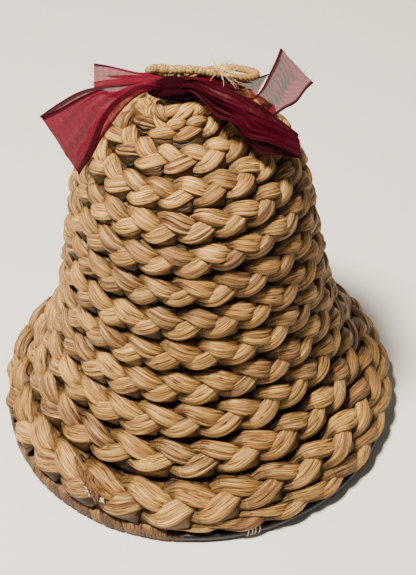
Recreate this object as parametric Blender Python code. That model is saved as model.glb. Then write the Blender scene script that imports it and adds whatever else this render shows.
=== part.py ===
"""Woven bell ornament: one braid coiled into a hollow bell on a wire hoop, with a cord loop and a ribbon bow.

Metres, +Z up.  The origin is on the ground under the middle of the rim, and the front faces -Y.
Every piece is worked out from the sizes below.
"""
import bisect
import math

import bmesh
import bpy
from mathutils import Vector

# Bell: the line of the braid's outer crests, as shares of the height and of the widest radius
BELL_HEIGHT = 0.211
BELL_RADIUS = 0.110
BELL_SHARES = (
    (0.055, 1.000),
    (0.110, 0.955),
    (0.180, 0.845),
    (0.270, 0.752),
    (0.400, 0.675),
    (0.600, 0.609),
    (0.780, 0.545),
    (0.885, 0.442),
    (0.955, 0.270),
    (0.990, 0.100),
    (1.000, 0.000),
)

# Braid: three strands, coiled from the rim to the crown
ROW_PITCH = 0.0212
ROW_NARROWING = 0.00038
BRAID_THICKNESS = 0.009
FIRST_ROW = 0.0126
START_WIDTH = 0.0064
START_DEGREES = 260.0
LOBE_BASE = 0.0092
LOBE_GROWTH = 0.160
LOBE_LEAD = 0.0125
LOBE_GROOVE = 0.0026
MIDDLE_GROOVE = 0.0013
ROW_GROOVE = 0.0036
ACROSS_SHARES = (0.03, 0.24, 0.50, 0.76, 0.97)
INNER_COLUMNS = 40
INNER_ROWS = 12

# Rim hoop of wire, and the strip wound round part of it
WIRE_RADIUS = 0.00225
WIRE_SIDES = 6
HOOP_COLUMNS = 48
WRAP_THICKNESS = 0.0008
WRAP_START_COLUMN = 3
WRAP_COLUMNS = 31
WRAP_SHOULDER = 0.0016

# Hanging loop of cord, through a hole in the crown, with a stopper knot inside.  Above the crown its
# line is given as shares of its span, from the left leg round the flopped oval to the right leg.
CORD_RADIUS = 0.002
CORD_SIDES = 6
LEG_SPACING = 0.0052
CROWN_HOLE_RADIUS = 0.0058
CROWN_HOLE_SIDES = 12
CROWN_MIDDLE = 0.0128
STOPPER_RADIUS = 0.0075
STOPPER_DROP = 0.0045
LEG_TOP_SHARE = 0.202
LOOP_SHARES = (
    (-0.140, 0.014, 0.274),
    (-0.272, 0.056, 0.256),
    (-0.360, 0.149, 0.158),
    (-0.272, 0.272, 0.044),
    (-0.088, 0.377, -0.044),
    (0.140, 0.447, -0.079),
    (0.351, 0.491, -0.061),
    (0.544, 0.386, -0.018),
    (0.632, 0.228, 0.046),
    (0.491, 0.088, 0.130),
    (0.281, 0.026, 0.214),
    (0.126, 0.007, 0.263),
)

# Ribbon bow.  The knot, and the stations of the loops and tails, are shares of the ribbon's width.  A
# station is an offset from the knot, a direction across, and shares for the width and half the opening.
# The cord's oval lies between the loops and the tails, so its span goes with the ribbon's width too.
RIBBON_WIDTH = 0.038
RIBBON_THICKNESS = 0.0009
LOOP_SPAN = 1.5 * RIBBON_WIDTH
KNOT_LIFT = 0.0015
KNOT_SHARES = (0.342, 0.237, 0.145)
KNOT_FORWARD_SHARE = 0.105
LOOP_STATIONS = {
    "left_loop": (
        ((-0.158, -0.026, 0.011), (0.10, -0.40, -0.90), 0.16, 0.047),
        ((-0.579, -0.079, -0.032), (0.30, -0.60, -0.60), 0.45, 0.058),
        ((-1.132, -0.158, -0.263), (0.48, -0.70, -0.50), 0.85, 0.058),
        ((-1.632, -0.263, -0.566), (0.54, -0.71, -0.43), 1.00, 0.047),
    ),
    "right_loop": (
        ((0.158, -0.026, 0.011), (0.05, 0.55, 0.80), 0.16, 0.047),
        ((0.513, -0.184, 0.013), (0.10, 0.60, 0.75), 0.45, 0.095),
        ((0.921, -0.342, -0.105), (0.05, 0.65, 0.72), 0.80, 0.118),
        ((1.237, -0.474, -0.289), (-0.08, 0.66, 0.72), 1.00, 0.095),
    ),
}
TAIL_STATIONS = {
    "left_tail": (
        ((-0.158, 0.105, -0.013), (0.10, 0.80, 0.30), 0.14, 0.0),
        ((-0.474, 0.211, -0.190), (0.15, 0.90, 0.00), 0.33, 0.0),
        ((-0.842, 0.368, -0.150), (0.00, 0.97, -0.10), 0.70, 0.0),
        ((-1.211, 0.500, 0.013), (-0.05, 0.97, -0.20), 0.85, 0.0),
    ),
    "right_tail": (
        ((0.158, 0.079, -0.053), (0.00, 0.90, 0.30), 0.14, 0.0),
        ((0.474, 0.158, -0.168), (-0.05, 0.95, 0.00), 0.33, 0.0),
        ((0.895, 0.289, -0.295), (-0.15, 0.95, -0.02), 0.68, 0.0),
        ((1.368, 0.474, -0.211), (-0.25, 0.90, 0.10), 0.90, 0.0),
    ),
}

# Between pieces that touch
GAP = 0.0003


def smooth(share):
    """Ease from 0 to 1 as share goes from 0 to 1."""
    share = min(max(share, 0.0), 1.0)
    return share * share * (3.0 - 2.0 * share)


def curve_through(points, steps):
    """Points of a Catmull-Rom curve through the given points."""
    points = [Vector(p) for p in points]
    padded = [2 * points[0] - points[1]] + points + [2 * points[-1] - points[-2]]
    result = []
    for i in range(len(points) - 1):
        a, b, c, d = padded[i:i + 4]
        for k in range(steps):
            t = k / steps
            result.append(0.5 * (2 * b + (c - a) * t + (2 * a - 5 * b + 4 * c - d) * t ** 2
                                 + (3 * b - a - 3 * c + d) * t ** 3))
    result.append(points[-1])
    return result


class Line:
    """A curve that is read by the distance along it."""

    def __init__(self, points):
        self.points = points
        self.marks = [0.0]
        for a, b in zip(points, points[1:]):
            self.marks.append(self.marks[-1] + (b - a).length)
        self.length = self.marks[-1]

    def at(self, distance):
        distance = min(max(distance, 0.0), self.length)
        i = min(max(bisect.bisect_right(self.marks, distance) - 1, 0), len(self.points) - 2)
        t = (distance - self.marks[i]) / (self.marks[i + 1] - self.marks[i])
        return self.points[i].lerp(self.points[i + 1], t)

    def heading(self, distance):
        step = self.length / 400
        return (self.at(distance + step) - self.at(distance - step)).normalized()


# The wrap goes all round the wire, so it lies under the wire and between it and the braid
WIRE_HEIGHT = WRAP_THICKNESS + GAP + WIRE_RADIUS
HOOP_RADIUS = BELL_RADIUS - BRAID_THICKNESS / 2
RIM_HEIGHT = WIRE_HEIGHT + WIRE_RADIUS + GAP + WRAP_THICKNESS + GAP

bell_points = [(BELL_RADIUS * 0.998, 0.0, RIM_HEIGHT)]
bell_points += [(r * BELL_RADIUS, 0.0, z * BELL_HEIGHT) for z, r in BELL_SHARES if z * BELL_HEIGHT > RIM_HEIGHT]
BELL = Line(curve_through(bell_points, 8))


def bell_point(distance, angle, depth):
    """The point at a distance up the bell's line, at an angle round it, and sunk below the crests."""
    line = BELL.at(distance)
    heading = BELL.heading(distance)
    r = max(line.x - heading.z * depth, 0.0)
    z = line.z + heading.x * depth
    return (r * math.cos(angle), r * math.sin(angle), z)


def rim_edge(turn):
    """The braid's lower edge in its first turn: it rises to clear the start of the braid."""
    return START_WIDTH * smooth((turn - 0.35) / 0.60)


def row_top(turn):
    """The braid's upper edge: it widens from the tucked start, and each turn climbs a little less than the last."""
    climb = ROW_PITCH * turn - ROW_NARROWING * turn * turn / 2
    return FIRST_ROW + climb - (FIRST_ROW - START_WIDTH) * (1.0 - smooth(turn / 0.08))


def row_bottom(turn):
    return rim_edge(turn) if turn < 1.0 else row_top(turn - 1.0)


def angle_of(turn):
    return math.radians(START_DEGREES) + math.tau * turn


# The coil ends at the edge of the crown's middle, which closes round the cord
COIL_END = BELL.length - CROWN_MIDDLE
COIL_CLIMB = COIL_END - FIRST_ROW
COIL_TURNS = (ROW_PITCH - math.sqrt(ROW_PITCH ** 2 - 2 * ROW_NARROWING * COIL_CLIMB)) / ROW_NARROWING


def coil_stations():
    """Turns at which the braid has a column of points, two to each lobe."""
    def step_at(turn):
        radius = max(BELL.at((row_bottom(turn) + row_top(turn)) / 2).x, CROWN_MIDDLE)
        return (LOBE_BASE + LOBE_GROWTH * radius) / 2 / (math.tau * radius)

    first_turn = round(1.0 / step_at(0.0))
    stations = [i / first_turn for i in range(first_turn)]
    turn = 1.0
    while turn < COIL_TURNS - 0.5 * step_at(turn):
        stations.append(turn)
        turn += step_at(turn)
    stations.append(COIL_TURNS)
    return stations


def zip_edges(bm, lower, upper):
    """Triangles between two rows of (turn, vertex) that run side by side."""
    i = j = 0
    while i < len(lower) - 1 or j < len(upper) - 1:
        if j == len(upper) - 1:
            take_lower = True
        elif i == len(lower) - 1:
            take_lower = False
        else:
            take_lower = lower[i + 1][0] <= upper[j + 1][0]
        if take_lower:
            corner = [lower[i][1], lower[i + 1][1], upper[j][1]]
            i += 1
        else:
            corner = [lower[i][1], upper[j + 1][1], upper[j][1]]
            j += 1
        if len(set(corner)) == 3:
            bm.faces.new(corner)


def finish(name, bm, colour, roughness, flat=False):
    """Put a mesh into the scene under its name, with its own material."""
    bmesh.ops.recalc_face_normals(bm, faces=bm.faces[:])
    mesh = bpy.data.meshes.new(name)
    bm.to_mesh(mesh)
    bm.free()
    if not flat:
        mesh.shade_smooth()
        mesh.set_sharp_from_angle(angle=math.radians(50))
    material = bpy.data.materials.new(name)
    material.use_nodes = True
    shader = material.node_tree.nodes["Principled BSDF"]
    shader.inputs["Base Color"].default_value = (*colour, 1.0)
    shader.inputs["Roughness"].default_value = roughness
    mesh.materials.append(material)
    item = bpy.data.objects.new(name, mesh)
    bpy.context.scene.collection.objects.link(item)
    return item


def woven_body():
    """The coiled braid: lobes slant both ways from each row's middle, over a plain inner wall."""
    bm = bmesh.new()
    stations = coil_stations()
    columns = []
    for number, turn in enumerate(stations):
        bottom, top = row_bottom(turn), row_top(turn)
        ends = smooth(turn / 0.1) * smooth((COIL_TURNS - turn) / 0.15)
        ridge = number % 2 == 0
        depths = (ROW_GROOVE, 0.0 if ridge else LOBE_GROOVE, MIDDLE_GROOVE,
                  LOBE_GROOVE if ridge else 0.0, ROW_GROOVE)
        column = []
        for share, depth in zip(ACROSS_SHARES, depths):
            distance = bottom + (top - bottom) * share
            radius = max(BELL.at(distance).x, CROWN_MIDDLE)
            lead = LOBE_LEAD * (1.0 - abs(2 * share - 1)) * ends / radius
            column.append(bm.verts.new(bell_point(distance, angle_of(turn) + lead, depth)))
        columns.append(column)
    for left, right in zip(columns, columns[1:]):
        for k in range(len(ACROSS_SHARES) - 1):
            bm.faces.new((left[k], right[k], right[k + 1], left[k + 1]))

    # Each turn's upper edge joins the next turn's lower edge
    tops = [(turn, column[-1]) for turn, column in zip(stations, columns)]
    bottoms = [(turn - 1.0, column[0]) for turn, column in zip(stations, columns)]
    joined_tops = [t for t in tops if t[0] <= COIL_TURNS - 1.0]
    zip_edges(bm, joined_tops, [b for b in bottoms if b[0] >= 0.0])

    # Inner wall: rings, and a lowest ring that follows the braid's lower edge with its one step
    low = [(i / INNER_COLUMNS, bm.verts.new(bell_point(rim_edge(i / INNER_COLUMNS),
            angle_of(i / INNER_COLUMNS), BRAID_THICKNESS))) for i in range(INNER_COLUMNS)]
    step = (1.0, bm.verts.new(bell_point(START_WIDTH, angle_of(0.0), BRAID_THICKNESS)))
    rings = []
    for row in range(1, INNER_ROWS + 1):
        distance = START_WIDTH + (COIL_END - START_WIDTH) * row / INNER_ROWS
        rings.append([bm.verts.new(bell_point(distance, angle_of(i / INNER_COLUMNS), BRAID_THICKNESS))
                      for i in range(INNER_COLUMNS)])
    edge = low + [step]
    for i in range(INNER_COLUMNS):
        bm.faces.new((edge[i][1], edge[i + 1][1], rings[0][(i + 1) % INNER_COLUMNS], rings[0][i]))
    bm.faces.new((step[1], low[0][1], rings[0][0]))
    for below, above in zip(rings, rings[1:]):
        for i in range(INNER_COLUMNS):
            j = (i + 1) % INNER_COLUMNS
            bm.faces.new((below[i], below[j], above[j], above[i]))

    # Rim: from the braid's lower edge to the inner wall, with the braid's start as a step
    outer_rim = [(b[0] + 1.0, b[1]) for b in bottoms if b[0] <= 0.0]
    outer_rim += [(1.0, vertex) for vertex in reversed(columns[0])]
    zip_edges(bm, edge + [(1.0, low[0][1])], outer_rim)

    # Crown: from the coil's last turn to the hole for the cord, and from the hole to the inner wall
    last_turn = COIL_TURNS - 1.0
    crown = [joined_tops[-1]] + [t for t in tops if t[0] > last_turn]
    crown += [(COIL_TURNS, vertex) for vertex in reversed(columns[-1][:-1])]
    crown += [(COIL_TURNS, joined_tops[-1][1])]
    turns = [last_turn + i / CROWN_HOLE_SIDES for i in range(CROWN_HOLE_SIDES)]
    hole_top, hole_bottom = [], []
    top_height = bell_point(BELL.length, 0.0, MIDDLE_GROOVE)[2]
    floor_height = rings[-1][0].co.z
    for turn in turns:
        x = CROWN_HOLE_RADIUS * math.cos(angle_of(turn))
        y = CROWN_HOLE_RADIUS * math.sin(angle_of(turn))
        hole_top.append((turn, bm.verts.new((x, y, top_height))))
        hole_bottom.append((turn, bm.verts.new((x, y, floor_height + GAP))))
    closed_top = hole_top + [(COIL_TURNS, hole_top[0][1])]
    closed_bottom = hole_bottom + [(COIL_TURNS, hole_bottom[0][1])]
    zip_edges(bm, crown, closed_top)
    for i in range(CROWN_HOLE_SIDES):
        bm.faces.new((closed_top[i][1], closed_top[i + 1][1], closed_bottom[i + 1][1], closed_bottom[i][1]))
    first = round((last_turn % 1.0) * INNER_COLUMNS)
    ring = [(last_turn + i / INNER_COLUMNS, rings[-1][(first + i) % INNER_COLUMNS])
            for i in range(INNER_COLUMNS + 1)]
    zip_edges(bm, ring, closed_bottom)
    return finish("woven_body", bm, (0.55, 0.36, 0.17), 0.75)


def sweep_closed(bm, sections):
    """Skin a closed chain of equal rings."""
    count = len(sections[0])
    for k, here in enumerate(sections):
        there = sections[(k + 1) % len(sections)]
        for i in range(count):
            j = (i + 1) % count
            bm.faces.new((here[i], here[j], there[j], there[i]))


def rim_hoop():
    """The wire hoop that keeps the rim round."""
    bm = bmesh.new()
    sections = []
    for column in range(HOOP_COLUMNS):
        angle = math.tau * column / HOOP_COLUMNS
        ring = []
        for side in range(WIRE_SIDES):
            roll = math.tau * (side + 0.5) / WIRE_SIDES
            r = HOOP_RADIUS + WIRE_RADIUS * math.cos(roll)
            ring.append(bm.verts.new((r * math.cos(angle), r * math.sin(angle),
                                      WIRE_HEIGHT + WIRE_RADIUS * math.sin(roll))))
        sections.append(ring)
    sweep_closed(bm, sections)
    return finish("rim_hoop", bm, (0.012, 0.012, 0.013), 0.45)


def rim_wrap():
    """The strip wound round the hoop, from the back to the braid's start, as one thick sleeve."""
    bm = bmesh.new()
    inner_radius = WIRE_RADIUS + GAP
    outer_radius = inner_radius + WRAP_THICKNESS
    outer_rings, inner_rings = [], []
    for column in range(WRAP_START_COLUMN, WRAP_START_COLUMN + WRAP_COLUMNS + 1):
        angle = math.tau * column / HOOP_COLUMNS
        turn = (angle - math.radians(START_DEGREES)) / math.tau % 1.0
        top = min(bell_point(rim_edge(turn + nudge), 0.0, depth)[2]
                  for nudge in (-0.012, 0.012) for depth in (0.0, BRAID_THICKNESS)) - GAP
        outline = ((-outer_radius + WRAP_SHOULDER, 0.0), (outer_radius - WRAP_SHOULDER, 0.0),
                   (outer_radius, WRAP_SHOULDER), (outer_radius, top - WRAP_SHOULDER),
                   (outer_radius - WRAP_SHOULDER, top), (-outer_radius + WRAP_SHOULDER, top),
                   (-outer_radius, top - WRAP_SHOULDER), (-outer_radius, WRAP_SHOULDER))
        outer_rings.append([bm.verts.new(((HOOP_RADIUS + x) * math.cos(angle),
                                          (HOOP_RADIUS + x) * math.sin(angle), z)) for x, z in outline])
        ring = []
        for side in range(WIRE_SIDES):
            roll = math.tau * (side + 0.5) / WIRE_SIDES
            r = HOOP_RADIUS + inner_radius * math.cos(roll)
            ring.append(bm.verts.new((r * math.cos(angle), r * math.sin(angle),
                                      WIRE_HEIGHT + inner_radius * math.sin(roll))))
        inner_rings.append(ring)
    for rings in (outer_rings, inner_rings):
        for here, there in zip(rings, rings[1:]):
            count = len(here)
            for i in range(count):
                j = (i + 1) % count
                bm.faces.new((here[i], here[j], there[j], there[i]))
    for end in (0, -1):
        rolls = [(math.atan2(v.co.z - WIRE_HEIGHT, math.hypot(v.co.x, v.co.y) - HOOP_RADIUS) % math.tau, v)
                 for v in outer_rings[end]]
        outer = sorted(rolls, key=lambda pair: pair[0])
        inner = [(math.tau * (side + 0.5) / WIRE_SIDES, v) for side, v in enumerate(inner_rings[end])]
        zip_edges(bm, outer + [(outer[0][0] + math.tau, outer[0][1])],
                  inner + [(inner[0][0] + math.tau, inner[0][1])])
    return finish("rim_wrap", bm, (0.36, 0.24, 0.12), 0.8)


def tube(bm, points, radius, sides):
    """A capped tube along points, its section carried without twisting."""
    across = None
    rings = []
    for i, point in enumerate(points):
        ahead = points[min(i + 1, len(points) - 1)]
        behind = points[max(i - 1, 0)]
        along = (ahead - behind).normalized()
        if across is None:
            across = Vector((0.0, 1.0, 0.0))
        across = (across - along * across.dot(along)).normalized()
        other = along.cross(across)
        rings.append([bm.verts.new(point + radius * (math.cos(math.tau * k / sides) * across
                                                     + math.sin(math.tau * k / sides) * other))
                      for k in range(sides)])
    for here, there in zip(rings, rings[1:]):
        for i in range(sides):
            j = (i + 1) % sides
            bm.faces.new((here[i], here[j], there[j], there[i]))
    bm.faces.new(list(reversed(rings[0])))
    bm.faces.new(rings[-1])


def combine(base, tool, operation):
    """Apply a Boolean to an object and remove the tool."""
    modifier = base.modifiers.new("join", "BOOLEAN")
    modifier.operation = operation
    modifier.solver = "EXACT"
    modifier.object = tool
    bpy.context.view_layer.update()
    evaluated = base.evaluated_get(bpy.context.evaluated_depsgraph_get())
    mesh = bpy.data.meshes.new_from_object(evaluated)
    base.modifiers.clear()
    base.data = mesh
    bpy.data.objects.remove(tool)


CROWN_TOP = bell_point(BELL.length, 0.0, 0.0)[2]
CROWN_UNDERSIDE = bell_point(COIL_END, 0.0, BRAID_THICKNESS)[2]


def loop_route():
    """The cord's middle line: up one leg, round the flopped oval, and down the other leg."""
    half = LEG_SPACING / 2
    foot = CROWN_UNDERSIDE - STOPPER_DROP - STOPPER_RADIUS
    heights = (foot, (foot + CROWN_TOP) / 2, CROWN_TOP + LEG_TOP_SHARE * LOOP_SPAN)
    left_leg = [(-half, 0.0, z) for z in heights]
    right_leg = [(half, 0.0, z) for z in reversed(heights)]
    oval = [(x * LOOP_SPAN, y * LOOP_SPAN, CROWN_TOP + z * LOOP_SPAN) for x, y, z in LOOP_SHARES]
    return left_leg + oval + right_leg


def hanging_loop():
    """One length of cord: a loop over the crown, its two ends knotted together inside."""
    bm = bmesh.new()
    tube(bm, curve_through(loop_route(), 3), CORD_RADIUS, CORD_SIDES)
    loop = finish("hanging_loop", bm, (0.45, 0.33, 0.18), 0.8)
    bm = bmesh.new()
    bmesh.ops.create_icosphere(bm, subdivisions=2, radius=STOPPER_RADIUS)
    bmesh.ops.translate(bm, verts=bm.verts[:], vec=(0.0, 0.0, CROWN_UNDERSIDE - STOPPER_DROP - STOPPER_RADIUS))
    combine(loop, finish("stopper", bm, (0.45, 0.33, 0.18), 0.8), "UNION")
    return loop


KNOT_HALF = [share * RIBBON_WIDTH for share in KNOT_SHARES]
KNOT = Vector((0.0, -KNOT_FORWARD_SHARE * RIBBON_WIDTH, CROWN_TOP + KNOT_LIFT + KNOT_HALF[2]))


def flat_strip(name, middles, acrosses, shares):
    """A flat closed strip of ribbon through its middle points, each with its direction across."""
    bm = bmesh.new()
    rings = []
    for i, middle in enumerate(middles):
        along = (middles[min(i + 1, len(middles) - 1)] - middles[max(i - 1, 0)]).normalized()
        across = (acrosses[i] - along * acrosses[i].dot(along)).normalized()
        face = along.cross(across) * RIBBON_THICKNESS / 2
        side = across * RIBBON_WIDTH / 2 * shares[i]
        centre = KNOT + middle
        rings.append([bm.verts.new(centre + side + face), bm.verts.new(centre - side + face),
                      bm.verts.new(centre - side - face), bm.verts.new(centre + side - face)])
    for here, there in zip(rings, rings[1:]):
        for i in range(4):
            j = (i + 1) % 4
            bm.faces.new((here[i], here[j], there[j], there[i]))
    bm.faces.new(rings[0])
    bm.faces.new(list(reversed(rings[-1])))
    return finish(name, bm, (0.20, 0.01, 0.03), 0.5, flat=True)


def read_stations(stations):
    """Smooth a strip's stations: middles, directions across, width shares and half openings."""
    middles = [RIBBON_WIDTH * p for p in curve_through([s[0] for s in stations], 3)]
    acrosses = [a.normalized() for a in curve_through([s[1] for s in stations], 3)]
    shares = [p.x for p in curve_through([(s[2], 0.0, 0.0) for s in stations], 3)]
    openings = [RIBBON_WIDTH * p.x for p in curve_through([(s[3], 0.0, 0.0) for s in stations], 3)]
    return middles, acrosses, shares, openings


def bow_tail(name, stations):
    return flat_strip(name, *read_stations(stations)[:3])


def bow_loop(name, stations):
    """A loop: out along one side of its middle, round the fold and back along the other."""
    middles, acrosses, shares, openings = read_stations(stations)
    normals = []
    for i in range(len(middles)):
        along = (middles[min(i + 1, len(middles) - 1)] - middles[max(i - 1, 0)]).normalized()
        acrosses[i] = (acrosses[i] - along * acrosses[i].dot(along)).normalized()
        normals.append(along.cross(acrosses[i]))
    upper = [m + n * o for m, n, o in zip(middles, normals, openings)]
    lower = [m - n * o for m, n, o in zip(middles, normals, openings)]
    outward = acrosses[-1].cross(normals[-1])
    fold = [middles[-1] + openings[-1] * (normals[-1] * math.cos(math.pi * k / 5)
                                          + outward * math.sin(math.pi * k / 5)) for k in range(1, 5)]
    return flat_strip(name, upper + fold + lower[::-1],
                      acrosses + [acrosses[-1]] * len(fold) + acrosses[::-1],
                      shares + [shares[-1]] * len(fold) + shares[::-1])


def ribbon_bow():
    """One length of ribbon: a knot round the cord's legs, two loops and two tails."""
    bm = bmesh.new()
    bmesh.ops.create_icosphere(bm, subdivisions=2, radius=1.0)
    for vertex in bm.verts:
        vertex.co = KNOT + Vector(c * half for c, half in zip(vertex.co, KNOT_HALF))
    bow = finish("ribbon_bow", bm, (0.20, 0.01, 0.03), 0.5)
    for name, stations in LOOP_STATIONS.items():
        combine(bow, bow_loop(name, stations), "UNION")
    for name, stations in TAIL_STATIONS.items():
        combine(bow, bow_tail(name, stations), "UNION")
    bm = bmesh.new()
    across = LEG_SPACING / 2 + CORD_RADIUS + GAP
    ahead = CORD_RADIUS + GAP
    bmesh.ops.create_cube(bm, size=1.0)
    for vertex in bm.verts:
        vertex.co = Vector((vertex.co.x * 2 * across, vertex.co.y * 2 * ahead, KNOT.z + vertex.co.z * 4 * KNOT_HALF[2]))
    combine(bow, finish("leg_space", bm, (0.20, 0.01, 0.03), 0.5), "DIFFERENCE")
    return bow


for item in list(bpy.data.objects):
    bpy.data.objects.remove(item)

woven_body()
rim_hoop()
rim_wrap()
hanging_loop()
ribbon_bow()
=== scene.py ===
"""Woven bell ornament: the finish of the braid, the wire hoop, the cord loop and the organza bow."""
import math

import bpy
import numpy as np
from mathutils import Matrix, Vector


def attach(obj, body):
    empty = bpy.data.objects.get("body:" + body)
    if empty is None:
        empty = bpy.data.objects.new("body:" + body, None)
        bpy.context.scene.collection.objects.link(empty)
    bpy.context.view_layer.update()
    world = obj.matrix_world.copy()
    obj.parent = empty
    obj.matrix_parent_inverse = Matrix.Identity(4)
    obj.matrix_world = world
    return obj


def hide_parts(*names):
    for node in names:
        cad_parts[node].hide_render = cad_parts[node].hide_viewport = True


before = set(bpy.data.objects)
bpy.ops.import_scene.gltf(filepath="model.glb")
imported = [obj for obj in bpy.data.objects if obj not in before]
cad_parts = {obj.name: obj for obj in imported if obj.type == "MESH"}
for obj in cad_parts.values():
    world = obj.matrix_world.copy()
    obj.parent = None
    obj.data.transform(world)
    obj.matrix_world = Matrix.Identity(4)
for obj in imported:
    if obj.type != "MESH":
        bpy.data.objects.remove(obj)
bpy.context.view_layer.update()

# Camera: the photograph was taken from above and in front, with a long lens and a slight roll.
# It stands where the rim hoop and the crown have the photograph's outline.
CAMERA_PLACE = Vector((0.0071, -0.6036, 0.6647))
CAMERA_PITCH = math.radians(43.95)
CAMERA_ROLL = math.radians(-1.72)
LENS_MM = 97.4
SENSOR_MM = 36.0
PHOTO_SIZE = (416, 575)

ahead = Vector((0.0, math.cos(CAMERA_PITCH), -math.sin(CAMERA_PITCH)))
level = Vector((1.0, 0.0, 0.0))
upward = level.cross(ahead)
right = level * math.cos(CAMERA_ROLL) + upward * math.sin(CAMERA_ROLL)
top = right.cross(ahead)
camera_data = bpy.data.cameras.new("camera")
camera_data.lens = LENS_MM
camera_data.sensor_width = SENSOR_MM
camera_data.clip_start = 0.01
camera = bpy.data.objects.new("camera", camera_data)
turned = Matrix((right, top, -ahead)).transposed().to_4x4()
camera.matrix_world = Matrix.Translation(CAMERA_PLACE) @ turned
bpy.context.scene.collection.objects.link(camera)
bpy.context.scene.camera = camera


# Studio: a pale floor that runs up into a pale background, a small bright key light above and to the left,
# and a weak warm fill at the right.
def colour(code):
    """An sRGB hex colour as linear RGBA."""
    parts = [int(code[i:i + 2], 16) / 255 for i in (1, 3, 5)]
    return [p / 12.92 if p <= 0.04045 else ((p + 0.055) / 1.055) ** 2.4 for p in parts] + [1.0]


def new_material(name):
    """A material and its node tree, with the Principled shader and the output linked."""
    material = bpy.data.materials.new(name)
    material.use_nodes = True
    return material, material.node_tree, material.node_tree.nodes["Principled BSDF"]


def add_mesh(name, points, faces, material, smooth=True):
    """A mesh object from its points and faces."""
    mesh = bpy.data.meshes.new(name)
    mesh.from_pydata([tuple(p) for p in points], [], faces)
    mesh.materials.append(material)
    if smooth:
        mesh.shade_smooth()
    item = bpy.data.objects.new(name, mesh)
    bpy.context.scene.collection.objects.link(item)
    return item


FLOOR_HALF = 7.0
FLOOR_CURVE_START = 0.9
FLOOR_CURVE_RADIUS = 0.5
FLOOR_CURVE_STEPS = 12
WORLD_STRENGTH = 0.13

# Matt studio paper: it gives an even pale ground with a soft shadow.
floor_material, _, floor_shader = new_material("pale_paper_floor")
floor_shader.inputs["Base Color"].default_value = colour("#d0cfcb")
floor_shader.inputs["Roughness"].default_value = 0.85
floor_profile = [(-FLOOR_HALF, 0.0), (FLOOR_CURVE_START, 0.0)]
for k in range(1, FLOOR_CURVE_STEPS + 1):
    bend = math.pi / 2 * k / FLOOR_CURVE_STEPS
    floor_profile.append((FLOOR_CURVE_START + FLOOR_CURVE_RADIUS * math.sin(bend),
                          FLOOR_CURVE_RADIUS * (1 - math.cos(bend))))
floor_profile.append((FLOOR_CURVE_START + FLOOR_CURVE_RADIUS, FLOOR_HALF))
floor_points = [(x, y, z) for y, z in floor_profile for x in (-FLOOR_HALF, FLOOR_HALF)]
floor_faces = [(2 * k, 2 * k + 1, 2 * k + 3, 2 * k + 2) for k in range(len(floor_profile) - 1)]
floor = add_mesh("floor", floor_points, floor_faces, floor_material)


def area_light(name, place, aim, size, watts, tint):
    """A round lamp at a place, turned to its aim."""
    lamp = bpy.data.lights.new(name, "AREA")
    lamp.shape = "DISK"
    lamp.size = size
    lamp.energy = watts
    lamp.color = colour(tint)[:3]
    item = bpy.data.objects.new(name, lamp)
    item.location = place
    item.rotation_euler = (Vector(aim) - Vector(place)).to_track_quat("-Z", "Y").to_euler()
    bpy.context.scene.collection.objects.link(item)


area_light("key", place=(-0.34, -0.24, 1.25), aim=(0.0, 0.0, 0.10), size=0.22, watts=64.0, tint="#fff2e0")
area_light("fill", place=(0.9, -1.1, 0.7), aim=(0.0, 0.0, 0.08), size=0.8, watts=1.4, tint="#fff2e4")
world = bpy.data.worlds.new("studio")
world.use_nodes = True
world.node_tree.nodes["Background"].inputs["Color"].default_value = colour("#e9eaec")
world.node_tree.nodes["Background"].inputs["Strength"].default_value = WORLD_STRENGTH
bpy.context.scene.world = world

# Braid: three flattened bundles of dried water-hyacinth stem, plaited flat and coiled from the rim to
# the crown, each row lying on the one below.  It is one long braid of three strands.
BELL_HEIGHT = 0.211
BELL_RADIUS = 0.110
BELL_LINE = (
    (0.055, 1.000),
    (0.110, 0.955),
    (0.180, 0.845),
    (0.270, 0.752),
    (0.400, 0.675),
    (0.600, 0.609),
    (0.780, 0.545),
    (0.885, 0.442),
    (0.955, 0.270),
    (0.990, 0.100),
    (1.000, 0.000),
)
RIM_HEIGHT = 0.0070
ROW_PITCH = 0.0212
ROW_NARROWING = 0.00038
MIDDLE_PITCH = 0.019
BRAID_THICKNESS = 0.009
FIRST_ROW = 0.0126
START_WIDTH = 0.0064
START_DEGREES = 260.0
CROWN_MARGIN = 0.0015
LOBE_BASE = 0.0092
LOBE_GROWTH = 0.160
STRAND_SWING = 0.278
STRAND_LIFT = 0.0021
STRAND_WIDTH = 0.410
STRAND_THICKNESS = 0.0048
STRAND_ROLL = math.radians(4)
STRAND_LEAN = math.radians(12)
STRAND_STEP = 0.0016
LOBE_SWELL = 0.28
LOBE_CENTRE = 0.80
CREASE_DEPTH = 0.42
FRONT_SIDES = 20
BACK_SIDES = 8


def smooth(share):
    """A share held within 0 and 1 and eased at both ends."""
    share = np.clip(share, 0.0, 1.0)
    return share * share * (3.0 - 2.0 * share)


def curve_through(points, steps):
    """Points of a Catmull-Rom curve through the given points."""
    points = np.array(points, dtype=float)
    padded = np.vstack([2 * points[0] - points[1], points, 2 * points[-1] - points[-2]])
    t = np.linspace(0.0, 1.0, steps, endpoint=False)[:, None]
    runs = []
    for i in range(len(points) - 1):
        a, b, c, d = padded[i:i + 4]
        runs.append(0.5 * (2 * b + (c - a) * t + (2 * a - 5 * b + 4 * c - d) * t ** 2
                           + (3 * b - a - 3 * c + d) * t ** 3))
    return np.vstack(runs + [points[-1:]])


bell_points = [(BELL_RADIUS * 0.998, RIM_HEIGHT)]
bell_points += [(r * BELL_RADIUS, z * BELL_HEIGHT) for z, r in BELL_LINE if z * BELL_HEIGHT > RIM_HEIGHT]
bell_line = curve_through(bell_points, 8)
bell_marks = np.concatenate([[0.0], np.cumsum(np.hypot(*np.diff(bell_line, axis=0).T))])
bell_length = bell_marks[-1]


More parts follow.
